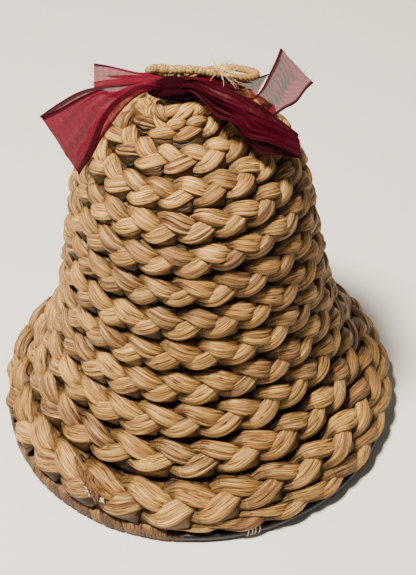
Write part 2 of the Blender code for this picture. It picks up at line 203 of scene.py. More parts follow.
def bell_at(distance):
    """Radius and height at a distance up the bell's line."""
    return np.interp(distance, bell_marks, bell_line[:, 0]), np.interp(distance, bell_marks, bell_line[:, 1])


def bell_point(distance, angle, depth):
    """A point at a distance up the line, at an angle round it and sunk below the crests, and its normal."""
    step = bell_length / 400
    r, z = bell_at(distance)
    ahead_r, ahead_z = bell_at(distance + step)
    behind_r, behind_z = bell_at(distance - step)
    size = np.hypot(ahead_r - behind_r, ahead_z - behind_z)
    out, rise = (ahead_z - behind_z) / size, -(ahead_r - behind_r) / size
    r = r - out * depth
    place = np.stack([r * np.cos(angle), r * np.sin(angle), z - rise * depth], -1)
    normal = np.stack([out * np.cos(angle), out * np.sin(angle), rise], -1)
    return place, normal


def rim_edge(turn):
    """How far the first row's lower edge has risen above the rim."""
    return START_WIDTH * smooth((turn - 0.35) / 0.60)


def row_top(turn):
    """The row's upper edge: rows narrow towards the crown, and the first starts thin."""
    climb = ROW_PITCH * turn - ROW_NARROWING * turn * turn / 2
    return FIRST_ROW + climb - (FIRST_ROW - START_WIDTH) * (1.0 - smooth(turn / 0.08))


def row_bottom(turn):
    """The row's lower edge, which is the upper edge of the row one turn back."""
    return np.where(turn < 1.0, rim_edge(turn), row_top(np.maximum(turn - 1.0, 0.0)))


def angle_of(turn):
    """The direction round the bell after a number of turns."""
    return math.radians(START_DEGREES) + math.tau * turn


COIL_CLIMB = bell_length - CROWN_MARGIN - FIRST_ROW
COIL_TURNS = (ROW_PITCH - math.sqrt(ROW_PITCH ** 2 - 2 * ROW_NARROWING * COIL_CLIMB)) / ROW_NARROWING


def skin(rings, closed=False):
    """Faces of a skin over equal rings that follow each other, numbered ring by ring."""
    count, sides = rings.shape[:2]
    faces = []
    for k in range(count if closed else count - 1):
        for i in range(sides):
            j = (i + 1) % sides
            here, there = k * sides, (k + 1) % count * sides
            faces.append((here + i, here + j, there + j, there + i))
    if not closed:
        faces.append(tuple(range(sides - 1, -1, -1)))
        faces.append(tuple(range((count - 1) * sides, count * sides)))
    return faces


def coil_track():
    """Turns, lengths and lobe phases along the braid's middle, in small even steps."""
    turns, lengths, phases = [0.0], [0.0], [0.0]
    step = STRAND_STEP
    while turns[-1] < COIL_TURNS:
        turn = turns[-1]
        radius = max(float(bell_at((row_bottom(turn) + row_top(turn)) / 2)[0]), 0.008)
        turns.append(turn + step / (math.tau * radius))
        lengths.append(lengths[-1] + step)
        phases.append(phases[-1] + step / (LOBE_BASE + LOBE_GROWTH * radius))
    return np.array(turns), np.array(lengths), np.array(phases)


COIL = coil_track()
LOBES = int(COIL[2][-1]) + 8


def wander(seed, low, high, count, every):
    """Smooth random values along the braid, one new value for every few lobes."""
    rng = np.random.default_rng(seed)
    knots = rng.uniform(low, high, int(count / every) + 4)
    return lambda phase: np.interp(phase / every, np.arange(len(knots)), knots)


def strand(number):
    """Rings of one strand of the plait, with its length, its tone and its painted shade for the material."""
    turns, lengths, phases = COIL
    swing = math.tau * phases / 3.0 + math.tau * number / 3.0
    bottom, upper = row_bottom(turns), row_top(turns)
    width = upper - bottom
    ends = smooth(turns / 0.05) * smooth((COIL_TURNS - turns) / 0.10)
    loose = wander(11 + number, 0.86, 1.16, LOBES, 1.5)(phases)
    shift = wander(21 + number, -0.05, 0.05, LOBES, 1.5)(phases)
    sway = (np.sin(swing) - 0.08 * np.sin(3 * swing)) / 1.08
    across = 0.5 + (STRAND_SWING * loose * sway + shift * 0.4)
    depth = BRAID_THICKNESS / 2 + STRAND_LIFT * np.sin(2 * swing) * (width / MIDDLE_PITCH)
    place, normal = bell_point(bottom + width * across, angle_of(turns), depth)
    along = np.gradient(place, axis=0)
    along /= np.linalg.norm(along, axis=1)[:, None]
    normal -= along * np.sum(normal * along, axis=1)[:, None]
    normal /= np.linalg.norm(normal, axis=1)[:, None]
    side = np.cross(normal, along)
    roll = STRAND_LEAN + STRAND_ROLL * np.sin(swing) + wander(31 + number, -0.22, 0.22, LOBES, 1.0)(phases)
    turned_side = side * np.cos(roll)[:, None] - normal * np.sin(roll)[:, None]
    turned_out = normal * np.cos(roll)[:, None] + side * np.sin(roll)[:, None]
    lobe = (swing - math.pi / 2) % math.pi
    swell = 1.0 + LOBE_SWELL * np.cos(2 * (lobe - LOBE_CENTRE))
    fat = wander(41 + number, 0.88, 1.12, LOBES, 1.0)(phases) * swell * (0.35 + 0.65 * ends)
    half_width = STRAND_WIDTH * width / 2 * fat
    half_depth = STRAND_THICKNESS / 2 * fat ** 0.6 * np.clip(width / MIDDLE_PITCH, 0.5, 1.1)
    front = np.linspace(0.0, math.pi, FRONT_SIDES, endpoint=False)
    back = np.linspace(math.pi, math.tau, BACK_SIDES, endpoint=False)
    theta = np.concatenate([front, back])
    twist = wander(51 + number, -0.9, 0.9, LOBES, 2.0)(phases)[:, None]
    lobe_index = np.floor((swing - math.pi / 2) / math.pi).astype(int) % LOBES
    rng = np.random.default_rng(61 + number)
    fold_a, fold_b, fold_c = (rng.uniform(0, math.tau, LOBES)[lobe_index][:, None] for _ in range(3))
    ridges = (0.55 * np.abs(np.sin(2.5 * theta + twist + fold_a))
              + 0.30 * np.abs(np.sin(4.5 * theta - twist + fold_b))
              + 0.15 * np.abs(np.sin(7 * theta + 2 * twist + fold_c)))
    blend = (0.35 + 0.65 * np.abs(np.sin(lobe + 0.55)))[:, None]
    reach = 1.0 - CREASE_DEPTH * blend * (1.0 - ridges)
    c, s = np.cos(theta), np.sin(theta)
    offset = width * (across - 0.5)
    slack = np.maximum(0.0, 0.64 * width - np.abs(offset) - half_width)
    upper_slack = slack * smooth((sway + 0.05) / 0.35)
    lower_slack = slack * smooth((0.05 - sway) / 0.35)
    behind = np.minimum(1.0, 1.7 * np.abs(s)) * (s < 0.0)
    stretch = np.where(c > 0.0, upper_slack[:, None], lower_slack[:, None]) * behind
    bulk = (BRAID_THICKNESS * 0.94 - depth)[:, None]
    lens_c = np.sign(c) * np.abs(c) ** np.where(s < 0.0, 0.6, 0.9)
    out = np.where(s < 0.0, -bulk * np.abs(s) ** 0.7, half_depth[:, None] * np.abs(s) * reach)
    sideways = lens_c * (half_width[:, None] * (0.5 + 0.5 * reach) + stretch)
    rings = (place[:, None, :] + turned_side[:, None, :] * sideways[:, :, None]
             + turned_out[:, None, :] * out[:, :, None])
    # Painted shade: the strand is darker where each lobe tucks under the next, towards its edges and over its
    # back, so that the gaps between the rows look dark.
    tuck_shade = 0.35 + 0.65 * smooth(1.5 * np.cos(lobe - 0.80) ** 2 - 0.30)
    edge = 0.30 + 0.70 * smooth(np.abs(s) / 0.60)
    shade = np.where(s < 0.0, 0.45 * (1.0 - np.abs(s) ** 0.5), edge) * tuck_shade[:, None]
    tone = rng.uniform(0.0, 1.0, LOBES)[lobe_index]
    return rings, lengths, tone, shade


def node(tree, kind, settings=None, links=None):
    """Add a node, set its properties and input values, and link its inputs."""
    item = tree.nodes.new(kind)
    for key, value in (settings or {}).items():
        if isinstance(key, int) or key in item.inputs:
            item.inputs[key].default_value = value
        else:
            setattr(item, key, value)
    for key, socket in (links or {}).items():
        tree.links.new(socket, item.inputs[key])
    return item


def hyacinth_material():
    """Dried water-hyacinth stem: straw to tan, satin, with fine fibres along it and darker scars; painted
    shade darkens its crease lines and wherever its shade attribute is low.
    """
    material, tree, shader = new_material("dried_water_hyacinth")
    uv = node(tree, "ShaderNodeUVMap", {"uv_map": "fibre"})
    tone = node(tree, "ShaderNodeAttribute", {"attribute_name": "tone"})
    place = node(tree, "ShaderNodeTexCoord")
    fibres = node(tree, "ShaderNodeMapping", {"Scale": (90.0, 2600.0, 1.0)}, {"Vector": uv.outputs["UV"]})
    streak = node(tree, "ShaderNodeTexNoise", {"Scale": 1.0, "Detail": 4.0, "Roughness": 0.6},
                  {"Vector": fibres.outputs["Vector"]})
    broad = node(tree, "ShaderNodeMapping", {"Scale": (45.0, 420.0, 1.0)}, {"Vector": uv.outputs["UV"]})
    band = node(tree, "ShaderNodeTexNoise", {"Scale": 1.0, "Detail": 3.0, "Roughness": 0.55},
                {"Vector": broad.outputs["Vector"]})
    palette = node(tree, "ShaderNodeValToRGB", links={"Fac": tone.outputs["Fac"]})
    stops = ((0.0, "#7e5c2e"), (0.20, "#b08746"), (0.36, "#886033"), (0.50, "#6b4731"),
             (0.62, "#9c733a"), (0.76, "#c69c55"), (0.88, "#593a29"), (1.0, "#8a6738"))
    palette.color_ramp.elements[0].position = stops[0][0]
    palette.color_ramp.elements[0].color = colour(stops[0][1])
    palette.color_ramp.elements[1].position = stops[-1][0]
    palette.color_ramp.elements[1].color = colour(stops[-1][1])
    for share, code in stops[1:-1]:
        palette.color_ramp.elements.new(share).color = colour(code)
    streak_mask = node(tree, "ShaderNodeMapRange", {"From Min": 0.40, "From Max": 0.66},
                       {"Value": streak.outputs["Fac"]})
    band_mask = node(tree, "ShaderNodeMapRange", {"From Min": 0.42, "From Max": 0.66, "To Max": 0.8},
                     {"Value": band.outputs["Fac"]})
    light = node(tree, "ShaderNodeMix", {"data_type": "RGBA", "blend_type": "MIX"})
    tree.links.new(band_mask.outputs["Result"], light.inputs["Factor"])
    tree.links.new(palette.outputs["Color"], light.inputs["A"])
    light.inputs["B"].default_value = colour("#dfb870")
    dark = node(tree, "ShaderNodeMix", {"data_type": "RGBA", "blend_type": "MULTIPLY"})
    tree.links.new(streak_mask.outputs["Result"], dark.inputs["Factor"])
    tree.links.new(light.outputs["Result"], dark.inputs["A"])
    dark.inputs["B"].default_value = colour("#a58459")
    creases = node(tree, "ShaderNodeMapping", {"Scale": (38.0, 900.0, 1.0), "Location": (3.0, 7.0, 0.0)},
                   {"Vector": uv.outputs["UV"]})
    crease = node(tree, "ShaderNodeTexNoise", {"Scale": 1.0, "Detail": 2.0, "Roughness": 0.45},
                  {"Vector": creases.outputs["Vector"]})
    off_middle = node(tree, "ShaderNodeMath", {"operation": "SUBTRACT", 1: 0.5}, {0: crease.outputs["Fac"]})
    from_middle = node(tree, "ShaderNodeMath", {"operation": "ABSOLUTE"}, {0: off_middle.outputs["Value"]})
    crease_mask = node(tree, "ShaderNodeMapRange", {"From Min": 0.006, "From Max": 0.030, "To Min": 1.0,
                       "To Max": 0.0}, {"Value": from_middle.outputs["Value"]})
    # Painted shade in the creases: the thin crease lines are multiplied with dark brown.
    creased = node(tree, "ShaderNodeMix", {"data_type": "RGBA", "blend_type": "MULTIPLY"})
    tree.links.new(crease_mask.outputs["Result"], creased.inputs["Factor"])
    tree.links.new(dark.outputs["Result"], creased.inputs["A"])
    creased.inputs["B"].default_value = colour("#5a3a1e")
    stain_noise = node(tree, "ShaderNodeTexNoise", {"Scale": 55.0, "Detail": 4.0, "Roughness": 0.7},
                       {"Vector": place.outputs["Object"]})
    stain_mask = node(tree, "ShaderNodeMapRange", {"From Min": 0.62, "From Max": 0.74, "To Max": 0.75},
                      {"Value": stain_noise.outputs["Fac"]})
    stained = node(tree, "ShaderNodeMix", {"data_type": "RGBA", "blend_type": "MIX"})
    tree.links.new(stain_mask.outputs["Result"], stained.inputs["Factor"])
    tree.links.new(creased.outputs["Result"], stained.inputs["A"])
    stained.inputs["B"].default_value = colour("#7a4a2a")
    # Painted shade: the shade attribute mixes the colour towards near black where the strand is marked as
    # lying in shade.
    shade = node(tree, "ShaderNodeAttribute", {"attribute_name": "shade"})
    sunk = node(tree, "ShaderNodeMix", {"data_type": "RGBA", "blend_type": "MIX"})
    tree.links.new(shade.outputs["Fac"], sunk.inputs["Factor"])
    sunk.inputs["A"].default_value = colour("#120a05")
    tree.links.new(stained.outputs["Result"], sunk.inputs["B"])
    tree.links.new(sunk.outputs["Result"], shader.inputs["Base Color"])
    furrow = node(tree, "ShaderNodeMath", {"operation": "MULTIPLY_ADD", 1: -0.8},
                  {0: crease_mask.outputs["Result"], 2: band.outputs["Fac"]})
    height = node(tree, "ShaderNodeMath", {"operation": "MULTIPLY_ADD", 1: 0.45},
                  {0: streak.outputs["Fac"], 2: furrow.outputs["Value"]})
    bump = node(tree, "ShaderNodeBump", {"Strength": 0.75, "Distance": 0.0009},
                {"Height": height.outputs["Value"]})
    tree.links.new(bump.outputs["Normal"], shader.inputs["Normal"])
    gloss = node(tree, "ShaderNodeMapRange", {"To Min": 0.42, "To Max": 0.62},
                 {"Value": streak.outputs["Fac"]})
    tree.links.new(gloss.outputs["Result"], shader.inputs["Roughness"])
    shader.inputs["Specular IOR Level"].default_value = 0.26
    return material


def fibre_map(item, rings, lengths, tone, shade):
    """UVs in metres, along the fibre and round it, and each point's tone and painted shade."""
    mesh = item.data
    count, sides = rings.shape[:2]
    girth = np.linalg.norm(np.roll(rings, -1, axis=1) - rings, axis=2).sum(axis=1).mean()
    loops = np.empty(len(mesh.loops), dtype=np.int32)
    mesh.loops.foreach_get("vertex_index", loops)
    ring, side = loops // sides, loops % sides
    starts = np.empty(len(mesh.polygons), dtype=np.int32)
    mesh.polygons.foreach_get("loop_start", starts)
    totals = np.empty(len(mesh.polygons), dtype=np.int32)
    mesh.polygons.foreach_get("loop_total", totals)
    polygon = np.repeat(np.arange(len(starts)), totals)
    wraps = np.zeros(len(starts), dtype=bool)
    np.logical_or.at(wraps, polygon, side == sides - 1)
    v = side + np.where(wraps[polygon] & (side == 0), sides, 0)
    uv = np.stack([lengths[ring], v / sides * girth], -1)
    layer = mesh.uv_layers.new(name="fibre")
    layer.data.foreach_set("uv", uv.astype(np.float32).ravel())
    attribute = mesh.attributes.new("tone", "FLOAT", "POINT")
    tone = np.asarray(tone)
    tone = np.repeat(tone, sides) if tone.ndim == 1 else tone.ravel()
    attribute.data.foreach_set("value", tone.astype(np.float32))
    attribute = mesh.attributes.new("shade", "FLOAT", "POINT")
    attribute.data.foreach_set("value", shade.ravel().astype(np.float32))


HYACINTH = hyacinth_material()
strands = []
for number in range(3):
    rings, lengths, tone, shade = strand(number)
    piece = add_mesh("braid_strand_%d" % (number + 1), rings.reshape(-1, 3), skin(rings), HYACINTH)
    fibre_map(piece, rings, lengths + 10.0 * number, tone, shade)
    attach(piece, "root")
    strands.append(piece)
for piece in strands:
    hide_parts("woven_body")

# Crown: the plait's last few lobes are drawn up round the cord's legs and close the middle under the bow.
CROWN_LOBES = (
    # from and to, in millimetres, then width and tone
    ((-14.5, -4.5, 212.5), (-10.0, -13.0, 206.0), 7.0, 0.50),
    ((-13.0, -9.5, 207.5), (-2.0, -9.5, 214.0), 7.4, 0.22),
    ((-7.5, -13.5, 206.5), (4.5, -8.5, 214.2), 7.2, 0.76),
    ((0.5, -12.5, 208.0), (10.5, -6.0, 213.0), 7.0, 0.64),
    ((6.0, -11.5, 207.0), (14.0, -1.0, 212.0), 6.6, 0.36),
    ((-11.0, -14.5, 204.5), (-0.5, -15.0, 207.5), 6.4, 0.14),
    ((-1.5, -15.5, 206.5), (9.5, -12.5, 206.5), 6.4, 0.86),
    ((11.0, 6.0, 211.0), (2.0, 11.5, 212.0), 7.0, 0.30),
    ((2.0, 11.0, 210.5), (-9.0, 8.5, 212.0), 7.0, 0.70),
    ((-9.5, 8.5, 211.0), (-12.5, -2.0, 212.0), 7.0, 0.10),
)
CROWN_LOBE_STEPS = 26
CROWN_LOBE_SIDES = 28
CROWN_LOBE_HALF_HEIGHT = 0.0026


def crown_lobe(start, end, width, seed):
    """One creased lobe between two points, thick in the middle and drawn to a tip at each end."""
    start, end = np.array(start) / 1000, np.array(end) / 1000
    share = np.linspace(0.0, 1.0, CROWN_LOBE_STEPS)[:, None]
    along = (end - start) / np.linalg.norm(end - start)
    middle = (start + end) / 2
    out = np.array((middle[0], middle[1], 0.0)) / math.hypot(middle[0], middle[1]) * 0.75 + (0.0, 0.0, 0.66)
    out -= along * (out @ along)
    out /= np.linalg.norm(out)
    side = np.cross(out, along)
    body = 0.10 + 0.90 * np.sin(math.pi * np.clip(share, 0.0, 1.0)) ** 0.75
    theta = np.linspace(0.0, math.tau, CROWN_LOBE_SIDES, endpoint=False)
    fold = np.random.default_rng(seed).uniform(0.0, math.tau, 2)
    ridges = (0.6 * np.abs(np.sin(3.0 * theta + fold[0] + 0.5 * share))
              + 0.4 * np.abs(np.sin(5.5 * theta + fold[1])))
    reach = 1.0 - 0.32 * (1.0 - ridges)
    wide = width / 2000 * body * np.cos(theta) * (0.5 + 0.5 * reach)
    high = CROWN_LOBE_HALF_HEIGHT * body * np.sin(theta) * np.where(np.sin(theta) > 0.0, reach, 1.0)
    centre = start + (end - start) * share + out * (0.0010 * np.sin(math.pi * share))
    rings = centre[:, None, :] + side * wide[:, :, None] + out * high[:, :, None]
    return rings, share[:, 0] * np.linalg.norm(end - start)


for number, (start, end, width, tone) in enumerate(CROWN_LOBES, start=1):
    rings, lengths = crown_lobe(start, end, width, 70 + number)
    lobe = add_mesh(f"crown_lobe_{number}", rings.reshape(-1, 3), skin(rings), HYACINTH)
    # Painted shade: each crown lobe is darker towards its tips, where it tucks under.
    ends = np.sin(np.linspace(0.0, math.pi, len(rings)))[:, None]
    shade = (0.45 + 0.55 * smooth(ends / 0.7)) * np.ones(CROWN_LOBE_SIDES)
    fibre_map(lobe, rings, lengths, np.full(len(rings), tone), shade)
    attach(lobe, "root")
    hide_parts("woven_body")

# Splice: where a new stem was plaited in, low on the left, the cut ends of the old one stick out as flat
# brown slivers, and flecks of pale pith show between them.
SPLICE_ENDS = (
    # distance up the bell, degrees round it, length, width, turn from level
    (0.0292, 228.2, 0.016, 0.0026, -0.70),
    (0.0280, 229.4, 0.019, 0.0022, -0.60),
    (0.0268, 230.4, 0.021, 0.0026, -0.64),
    (0.0284, 231.6, 0.017, 0.0020, -0.50),
    (0.0258, 231.8, 0.020, 0.0024, -0.66),
    (0.0272, 233.2, 0.016, 0.0020, -0.46),
    (0.0244, 232.8, 0.018, 0.0024, -0.74),
    (0.0260, 235.2, 0.013, 0.0020, -0.40),
    (0.0236, 234.6, 0.013, 0.0022, -0.62),
)
PITH_TUFTS = (
    # distance up the bell, degrees round it, size
    (0.0168, 236.6, 0.0040),
    (0.0158, 238.4, 0.0034),
    (0.0150, 241.0, 0.0024),
)
PITH_CURLS = 9
PITH_RADIUS = 0.0005
SLIVER_SECTION = (
    # share of the half width, and height above the middle, or None for the curled edges
    (-1.0, None),
    (-0.3, 0.0005),
    (0.35, 0.0006),
    (1.0, None),
    (0.35, -0.0001),
    (-0.3, -0.0002),
)


def plain_material(name, code, roughness, specular=0.3):
    """A material of one colour and one gloss, for small or even pieces."""
    material, _, shader = new_material(name)
    shader.inputs["Base Color"].default_value = colour(code)
    shader.inputs["Roughness"].default_value = roughness
    shader.inputs["Specular IOR Level"].default_value = specular
    return material


def join_rings(parts):
    """One list of points and faces from several ring skins."""
    points, faces = [], []
    for rings in parts:
        base = len(points)
        points += [tuple(p) for p in rings.reshape(-1, 3)]
        faces += [tuple(base + i for i in face) for face in skin(rings)]
    return points, faces


def sliver(distance, degrees, length, width, slope, rng):
    """A flat pointed strip that lies over the braid and lifts at its far end."""
    share = np.linspace(0.0, 1.0, 12)
    radius = float(bell_at(distance)[0])
    angle = math.radians(degrees) + share * length * math.cos(slope) / radius
    up = distance + share * length * math.sin(slope)
    lift = -0.0006 - 0.0016 * share + 0.0004 * np.sin(5 * share + rng.uniform(0, 6))
    place, normal = bell_point(up, angle, lift)
    along = np.gradient(place, axis=0)
    along /= np.linalg.norm(along, axis=1)[:, None]
    side = np.cross(normal, along)
    half = width / 2 * (0.55 + 0.75 * share - 0.95 * share ** 3)
    curl = 0.0007 * rng.uniform(0.4, 1.0)
    rings = []
    for u, out in SLIVER_SECTION:
        rings.append(place + side * (half * u)[:, None] + normal * (curl if out is None else out))
    return np.stack(rings, axis=1)


def stem_end_material():
    """Cut stem ends: dull brown, with darker and paler streaks that break up the flat strips."""
    material, tree, shader = new_material("cut_stem_ends")
    place = node(tree, "ShaderNodeTexCoord")
    drawn = node(tree, "ShaderNodeMapping",
                 {"Rotation": (0.0, 0.0, 0.9), "Scale": (1300.0, 260.0, 500.0)},
                 {"Vector": place.outputs["Object"]})
    streak = node(tree, "ShaderNodeTexNoise", {"Scale": 1.0, "Detail": 3.0, "Roughness": 0.6},
                  {"Vector": drawn.outputs["Vector"]})
    ramp = node(tree, "ShaderNodeValToRGB", links={"Fac": streak.outputs["Fac"]})
    for stop, share, code in zip(ramp.color_ramp.elements, (0.36, 0.64), ("#24150b", "#745232")):
        stop.position = share
        stop.color = colour(code)
    tree.links.new(ramp.outputs["Color"], shader.inputs["Base Color"])
    shader.inputs["Roughness"].default_value = 0.75
    shader.inputs["Specular IOR Level"].default_value = 0.2
    return material


rng = np.random.default_rng(7)
splice_points, splice_faces = join_rings([sliver(*end, rng) for end in SPLICE_ENDS])
splice = add_mesh("splice_ends", splice_points, splice_faces, stem_end_material())


def tube(path, radii, sides):
    """Rings of a round tube along a path, carried without twisting."""
    path = np.asarray(path, dtype=float)
    radii = np.broadcast_to(radii, len(path))
    along = np.gradient(path, axis=0)
    along /= np.linalg.norm(along, axis=1)[:, None] + 1e-12
    guide = np.array((0.0, 0.0, 1.0)) if abs(along[0, 2]) < 0.8 else np.array((0.0, 1.0, 0.0))
    rings = []
    theta = np.linspace(0.0, math.tau, sides, endpoint=False)
    for centre, heading, radius in zip(path, along, radii):
        guide = guide - heading * (guide @ heading)
        guide /= np.linalg.norm(guide)
        other = np.cross(heading, guide)
        rings.append(centre + radius * (np.cos(theta)[:, None] * guide + np.sin(theta)[:, None] * other))
    return np.array(rings)


def tuft(distance, degrees, size, rng):
    """Loose curls of pith that spring from one spot."""
    parts = []
    for _ in range(PITH_CURLS):
        place, normal = bell_point(distance + rng.uniform(-0.4, 0.4) * size,
                                   math.radians(degrees) + rng.uniform(-0.4, 0.4) * size / 0.1, -0.0004)
        heading = rng.normal(size=3)
        heading += normal * (1.0 - heading @ normal)
        heading /= np.linalg.norm(heading)
        bend = np.cross(heading, rng.normal(size=3))
        share = np.linspace(0.0, 1.0, 6)[:, None]
        path = place + heading * size * 0.55 * share + bend * size * 0.35 * share ** 2
        parts.append(tube(path, PITH_RADIUS * (1.1 - share[:, 0]), 5))
    return parts


# Dry pith: matt and cream, so that it shows as pale flecks.
pith_points, pith_faces = join_rings([part for spot in PITH_TUFTS for part in tuft(*spot, rng)])
pith = add_mesh("splice_pith", pith_points, pith_faces, plain_material("dry_pale_pith", "#d6c8a8", 0.9))
for piece in (splice, pith):
    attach(piece, "root")
    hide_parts("woven_body")

# Rim hoop: a ring of 4.5 mm black wire that keeps the mouth round.  It lies just clear of the ground, held
# up by the winding, and pale threads tie the first row to it.
HOOP_RADIUS = BELL_RADIUS - BRAID_THICKNESS / 2
WIRE_RADIUS = 0.00225
WIRE_HEIGHT = 0.00335
THREAD_DEGREES = (283.0, 284.2, 285.1, 286.3)
THREAD_RADIUS = 0.00024
THREAD_LOOP_HALF_WIDTH = 0.0029
THREAD_LOOP_MIDDLE = 0.0047
THREAD_LOOP_HALF_HEIGHT = 0.0043
HOOP_STEPS = 180

# Black wire: smooth and half glossy, so that where it is bare it shows a thin highlight.
hoop_material = plain_material("black_coated_wire", "#121212", 0.38, 0.5)
turn_angles = np.linspace(0.0, math.tau, HOOP_STEPS + 1)
hoop_path = np.stack([HOOP_RADIUS * np.cos(turn_angles), HOOP_RADIUS * np.sin(turn_angles),
                      np.full(HOOP_STEPS + 1, WIRE_HEIGHT)], -1)
hoop_rings = tube(hoop_path, WIRE_RADIUS, 12)[:-1]
hoop = add_mesh("hoop_ring", hoop_rings.reshape(-1, 3), skin(hoop_rings, closed=True), hoop_material)


def thread_round(degrees):
    """One thread that goes round the wire and through the braid's lower edge."""
    angle = math.radians(degrees)
    roll = np.linspace(0.0, math.tau, 25)
    r = HOOP_RADIUS + THREAD_LOOP_HALF_WIDTH * np.cos(roll)
    z = THREAD_LOOP_MIDDLE + THREAD_LOOP_HALF_HEIGHT * np.sin(roll)
    lean = angle + 0.006 * np.sin(roll)
    return tube(np.stack([r * np.cos(lean), r * np.sin(lean), z], -1), THREAD_RADIUS, 5)


thread_points, thread_faces = join_rings([thread_round(d) for d in THREAD_DEGREES])
# Pale thread: dull and light, so that it stands out against the black wire.
thread_material = plain_material("pale_tie_thread", "#e6dcc4", 0.8)
threads = add_mesh("tie_threads", thread_points, thread_faces, thread_material)
for piece in (hoop, threads):
    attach(piece, "root")
    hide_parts("rim_hoop")

# Rim wrap: a flat brown stem wound round the hoop from the back to the front left.  It thickens where it
# fills the space under the braid's rising lower edge, and each turn overlaps the last.
WRAP_START_DEGREES = 22.5
WRAP_END_DEGREES = 265.0
WRAP_HALF_WIDTH = 0.00335
WRAP_TURN = 0.0058
WRAP_STEP = 0.0004
WRAP_SIDES = 18


def wrap_rings():
    """Rings of the sleeve of wound stem, with each winding's tone and painted shade."""
    length = math.radians(WRAP_END_DEGREES - WRAP_START_DEGREES) * HOOP_RADIUS
    marks = np.arange(0.0, length, WRAP_STEP)
    angle = math.radians(WRAP_START_DEGREES) + marks / HOOP_RADIUS
    turn = (angle - math.radians(START_DEGREES)) / math.tau % 1.0
    heights = [bell_point(rim_edge(turn + nudge), 0.0 * turn, depth)[0][:, 2]
               for nudge in (-0.012, 0.012) for depth in (0.0, BRAID_THICKNESS)]
    top = np.minimum.reduce(heights) - 0.0002
    theta = np.linspace(0.0, math.tau, WRAP_SIDES, endpoint=False)
    rng = np.random.default_rng(5)
    edges = np.cumsum(rng.uniform(0.6, 1.5, 200)) * WRAP_TURN
    slant = 0.0016 * np.sin(theta)[None, :] * np.ones(len(marks))[:, None]
    spot = marks[:, None] + slant
    winding = np.searchsorted(edges, spot)
    start = np.where(winding > 0, edges[winding - 1], 0.0)
    share = (spot - start) / (edges[winding] - start)
    groove = 0.00080 * (1.0 - smooth(share / 0.14)) + 0.00035 * smooth((share - 0.8) / 0.2)
    groove = groove + np.random.default_rng(6).uniform(0.0, 0.0005, 400)[winding]
    crease = 0.00022 * np.abs(np.sin(spot * 1500.0 + 3.0 * winding))
    c, s = np.cos(theta), np.sin(theta)
    square_c = np.sign(c) * np.abs(c) ** 0.6
    square_s = np.sign(s) * np.abs(s) ** 0.6
    sunk = groove + crease
    full = smooth((length - marks) / 0.016)[:, None]
    half_width = WRAP_HALF_WIDTH * full + (WIRE_RADIUS + 0.0005) * (1.0 - full)
    half_height = top[:, None] / 2 * full + (WIRE_RADIUS + 0.0005) * (1.0 - full)
    middle = top[:, None] / 2 * full + WIRE_HEIGHT * (1.0 - full)
    r = HOOP_RADIUS + square_c * (half_width - sunk)
    z = middle + square_s * (half_height - sunk * (s > -0.9))
    rings = np.stack([r * np.cos(angle)[:, None], r * np.sin(angle)[:, None], z], -1)
    tone = np.random.default_rng(9).uniform(0.0, 1.0, 400)[winding]
    # Painted shade: each winding is darker at its start, in the groove where it meets the turn before.
    shade = 1.0 - 0.90 * (1.0 - smooth(share / 0.14))
    return rings, tone, shade


def fibre_material(name, stops, along, across, dark):
    """Dry plant fibre with streaks along it; UVs are in metres, each turn has its own tone, and painted shade
    darkens it where its shade attribute is low.
    """
    material, tree, shader = new_material(name)
    uv = node(tree, "ShaderNodeUVMap", {"uv_map": "fibre"})
    tone = node(tree, "ShaderNodeAttribute", {"attribute_name": "tone"})
    shade = node(tree, "ShaderNodeAttribute", {"attribute_name": "shade"})
    palette = node(tree, "ShaderNodeValToRGB", links={"Fac": tone.outputs["Fac"]})
    palette.color_ramp.elements[0].color = colour(stops[0])
    palette.color_ramp.elements[1].color = colour(stops[-1])
    for k, code in enumerate(stops[1:-1]):
        palette.color_ramp.elements.new((k + 1) / (len(stops) - 1)).color = colour(code)
    spread = node(tree, "ShaderNodeMapping", {"Scale": (along, across, 1.0)}, {"Vector": uv.outputs["UV"]})
    streak = node(tree, "ShaderNodeTexNoise", {"Scale": 1.0, "Detail": 3.0, "Roughness": 0.6},
                  {"Vector": spread.outputs["Vector"]})
    mask = node(tree, "ShaderNodeMapRange", {"From Min": 0.45, "From Max": 0.62},
                {"Value": streak.outputs["Fac"]})
    streaked = node(tree, "ShaderNodeMix", {"data_type": "RGBA", "blend_type": "MULTIPLY"})
    tree.links.new(mask.outputs["Result"], streaked.inputs["Factor"])
    tree.links.new(palette.outputs["Color"], streaked.inputs["A"])
    streaked.inputs["B"].default_value = colour(dark)
    # Painted shade: the shade attribute mixes the colour towards dark brown in the grooves between the
    # windings.
    sunk = node(tree, "ShaderNodeMix", {"data_type": "RGBA", "blend_type": "MIX"})
    tree.links.new(shade.outputs["Fac"], sunk.inputs["Factor"])
    sunk.inputs["A"].default_value = colour("#2a1a10")
    tree.links.new(streaked.outputs["Result"], sunk.inputs["B"])
    tree.links.new(sunk.outputs["Result"], shader.inputs["Base Color"])
    bump = node(tree, "ShaderNodeBump", {"Strength": 0.6, "Distance": 0.0004},
                {"Height": streak.outputs["Fac"]})
    tree.links.new(bump.outputs["Normal"], shader.inputs["Normal"])
    shader.inputs["Roughness"].default_value = 0.62
    shader.inputs["Specular IOR Level"].default_value = 0.35
    return material


rings, tone, shade = wrap_rings()
wrap_material = fibre_material("wound_brown_stem", ("#6a4c2a", "#8c693e", "#4c3420", "#765632"), 1500.0, 60.0,
                               "#4a3420")
wrap = add_mesh("rim_winding", rings.reshape(-1, 3), skin(rings), wrap_material)
fibre_map(wrap, rings, np.arange(len(rings)) * WRAP_STEP, tone, shade)
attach(wrap, "root")
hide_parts("rim_wrap")

